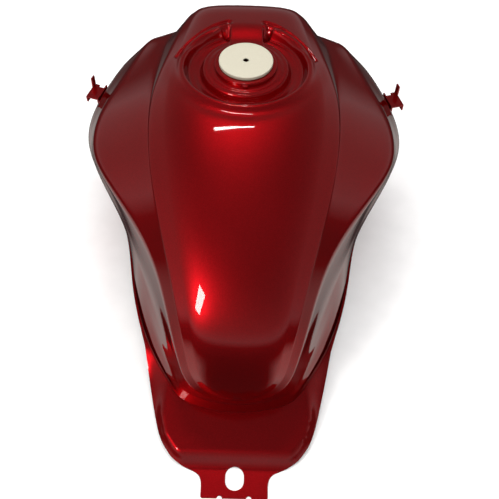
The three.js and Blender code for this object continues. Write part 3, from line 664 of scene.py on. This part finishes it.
# %% Paint
def candy_paint():
    """Red metallic base with flakes, under a hard clear coat."""
    mat, tree, shader = new_material("candy_red")
    coords = tree.nodes.new("ShaderNodeTexCoord")
    flakes = add_node(tree, "ShaderNodeTexVoronoi", Scale=1500.0)
    tree.links.new(coords.outputs["Object"], flakes.inputs["Vector"])
    cloud = add_node(tree, "ShaderNodeTexNoise", Scale=14.0, Detail=3.0)
    tree.links.new(coords.outputs["Object"], cloud.inputs["Vector"])
    reds = [(0.0, (0.42, 0.002, 0.005)), (1.0, (0.58, 0.005, 0.010))]
    flake_colour = ramp(tree, flakes.outputs["Color"], reds)
    drift = [(0.35, (0.93, 0.9, 0.9)), (0.65, (1.0, 1.0, 1.0))]
    cloud_colour = ramp(tree, cloud.outputs["Fac"], drift)
    mix = tree.nodes.new("ShaderNodeMix")
    mix.data_type = "RGBA"
    mix.blend_type = "MULTIPLY"
    mix.inputs["Factor"].default_value = 1.0
    tree.links.new(flake_colour, mix.inputs[6])
    tree.links.new(cloud_colour, mix.inputs[7])
    tree.links.new(mix.outputs[2], shader.inputs["Base Color"])
    bump = add_node(tree, "ShaderNodeBump", Strength=0.12, Distance=0.0002)
    tree.links.new(flakes.outputs["Distance"], bump.inputs["Height"])
    tree.links.new(bump.outputs["Normal"], shader.inputs["Normal"])
    peel = add_node(tree, "ShaderNodeTexNoise", Scale=220.0, Detail=2.0)
    tree.links.new(coords.outputs["Object"], peel.inputs["Vector"])
    peel_bump = add_node(tree, "ShaderNodeBump", Strength=0.06, Distance=0.0003)
    tree.links.new(peel.outputs["Fac"], peel_bump.inputs["Height"])
    tree.links.new(peel_bump.outputs["Normal"], shader.inputs["Coat Normal"])
    shader.inputs["Metallic"].default_value = 0.95
    shader.inputs["Roughness"].default_value = 0.40
    shader.inputs["Coat Weight"].default_value = 1.0
    shader.inputs["Coat Roughness"].default_value = 0.03
    shader.inputs["Coat IOR"].default_value = 1.5
    shader.inputs["Specular Tint"].default_value = (0.12, 0.01, 0.015, 1.0)
    return mat


candy = candy_paint()
build_shell(candy)
build_pan(candy)

# %% [markdown]
# ## The plainer finishes
# Zinc-plated steel, cast alloy, brass, rubber and moulded plastics differ in colour, shine
# and the scale of their grain, so one function makes them all from those few values.

# %% Finish every CAD node that is kept
def simple_finish(name, colours, metallic, roughness, scale, depth):
    """One finish: two colours and a roughness range driven by the same fine noise."""
    mat, tree, shader = new_material(name)
    noise = noise_bump(tree, shader, scale, depth)
    colour = ramp(tree, noise.outputs["Fac"], [(0.3, colours[0]), (0.7, colours[1])])
    tree.links.new(colour, shader.inputs["Base Color"])
    rough = add_node(tree, "ShaderNodeMapRange")
    rough.inputs["To Min"].default_value = roughness[0]
    rough.inputs["To Max"].default_value = roughness[1]
    tree.links.new(noise.outputs["Fac"], rough.inputs["Value"])
    tree.links.new(rough.outputs["Result"], shader.inputs["Roughness"])
    shader.inputs["Metallic"].default_value = metallic
    return mat


FINISHES = {
    "candy_red": candy,
    "steel": simple_finish(
        "zinc_steel", ((0.42, 0.43, 0.45), (0.55, 0.56, 0.58)),
        0.9, (0.3, 0.5), 180.0, 0.00005),
    "alloy": simple_finish(
        "cast_alloy", ((0.5, 0.5, 0.51), (0.62, 0.62, 0.63)),
        0.85, (0.4, 0.6), 400.0, 0.00008),
    "cream_plastic": simple_finish(
        "cream_plastic", ((0.42, 0.395, 0.31), (0.46, 0.43, 0.34)),
        0.0, (0.5, 0.62), 900.0, 0.00003),
    "white_plastic": simple_finish(
        "white_plastic", ((0.7, 0.69, 0.65), (0.78, 0.77, 0.73)),
        0.0, (0.5, 0.6), 500.0, 0.00004),
    "black_plastic": simple_finish(
        "black_plastic", ((0.018, 0.018, 0.02), (0.03, 0.03, 0.032)),
        0.0, (0.4, 0.55), 600.0, 0.00004),
    "rubber": simple_finish(
        "rubber", ((0.015, 0.015, 0.015), (0.028, 0.028, 0.028)),
        0.0, (0.7, 0.85), 700.0, 0.00005),
    "brass": simple_finish(
        "drawn_brass", ((0.55, 0.40, 0.17), (0.66, 0.49, 0.24)),
        0.9, (0.3, 0.45), 500.0, 0.00003),
}
slot_of = {row["node"]: row["material_slot"] for row in frame["record"]["subparts"]}
for name, node in frame["nodes"].items():
    node.data.materials.clear()
    node.data.materials.append(FINISHES[slot_of[name]])

# %% [markdown]
# ## Neck and plug
# Both are turned parts, so each is one profile spun round the neck's axis. The neck ring
# carries a small lug behind, which keys the cap. The plug is a moulded disc with a rounded
# rim, hollow underneath like most such caps, so its vent hole opens into the dark.

# %% Neck and plug
def spin(profile, x, y, steps=128):
    """Points and faces of a closed profile (radius, height) turned round an upright axis."""
    angles = np.linspace(0, 2 * math.pi, steps, endpoint=False)
    points = [(x + r * math.cos(a), y + r * math.sin(a), z) for a in angles for r, z in profile]
    n = len(profile)
    faces = []
    for i in range(steps):
        here, there = i * n, ((i + 1) % steps) * n
        faces += [(here + k, there + k, there + (k + 1) % n, here + (k + 1) % n) for k in range(n)]
    return points, faces


def rounded(profile, radius, steps=4):
    """Rounds every corner of a closed profile that has room for the radius."""
    out = []
    n = len(profile)
    for k in range(n):
        a, b, c = (np.array(profile[(k + d) % n], float) for d in (-1, 0, 1))
        ra = min(radius, np.linalg.norm(a - b) * 0.45)
        rc = min(radius, np.linalg.norm(c - b) * 0.45)
        p = b + (a - b) / np.linalg.norm(a - b) * ra
        q = b + (c - b) / np.linalg.norm(c - b) * rc
        for t in np.linspace(0, 1, steps):
            out.append(tuple(p * (1 - t) ** 2 + 2 * t * (1 - t) * b + q * t * t))
    return out


def turned_piece(name, profile, radius, mat):
    """A profile turned round the neck's axis, with its corners rounded."""
    points, faces = spin(rounded(profile, radius), NECK[0], NECK[1])
    piece = mesh_object(name, to_row_frame(np.array(points)), faces, mat)
    bm = bmesh.new()
    bm.from_mesh(piece.data)
    bmesh.ops.recalc_face_normals(bm, faces=bm.faces)
    bm.to_mesh(piece.data)
    bm.free()
    piece.data.set_sharp_from_angle(angle=TURNED_EDGE)
    return piece


def add_lug(ring):
    """A small rounded block on the ring's rear, half sunk into its wall."""
    bm = bmesh.new()
    bm.from_mesh(ring.data)
    at = Vector((NECK[0], NECK[1] - NECK_R - 0.5 + ORIGIN_Y, PLATFORM_Z + GAP + LUG[2] / 2)) * MM
    block = bmesh.ops.create_cube(bm, size=1.0)["verts"]
    for v in block:
        v.co = at + Vector([c * length for c, length in zip(v.co, LUG)]) * MM
    rim = list({e for v in block for e in v.link_edges})
    bmesh.ops.bevel(bm, geom=rim, offset=0.6 * MM, segments=2, profile=0.5, affect="EDGES")
    bm.to_mesh(ring.data)
    bm.free()
    ring.data.set_sharp_from_angle(angle=TURNED_EDGE)


TURNED_EDGE = math.radians(40)
NECK_BORE, NECK_R, PLUG_R = 28.5, 38.0, 32.8
VENT_R = 3.3
LUG = (7, 5, 3)                     # width, length, height
NECK_PROFILE = [(NECK_BORE, 252), (NECK_R - 4, 252), (NECK_R - 4, 256), (NECK_R, 258),
                (NECK_R, 271.5), (NECK_BORE + 1, 271.5), (NECK_BORE, 270)]
PLUG_PROFILE = [(VENT_R, 274.4), (NECK_BORE - 4, 274.4), (NECK_BORE - 4, 262),
                (NECK_BORE - 2.5, 262), (NECK_BORE - 1, 264), (NECK_BORE - 1, 271.8),
                (PLUG_R, 271.8), (PLUG_R, 276.4), (VENT_R, 276.4)]
neck = turned_piece("neck_ring", NECK_PROFILE, 1.4, candy)
add_lug(neck)
hand_over(neck, "filler_neck")
plug = turned_piece("plug_disc", PLUG_PROFILE, 1.1, FINISHES["cream_plastic"])
hand_over(plug, "filler_plug", "plug")
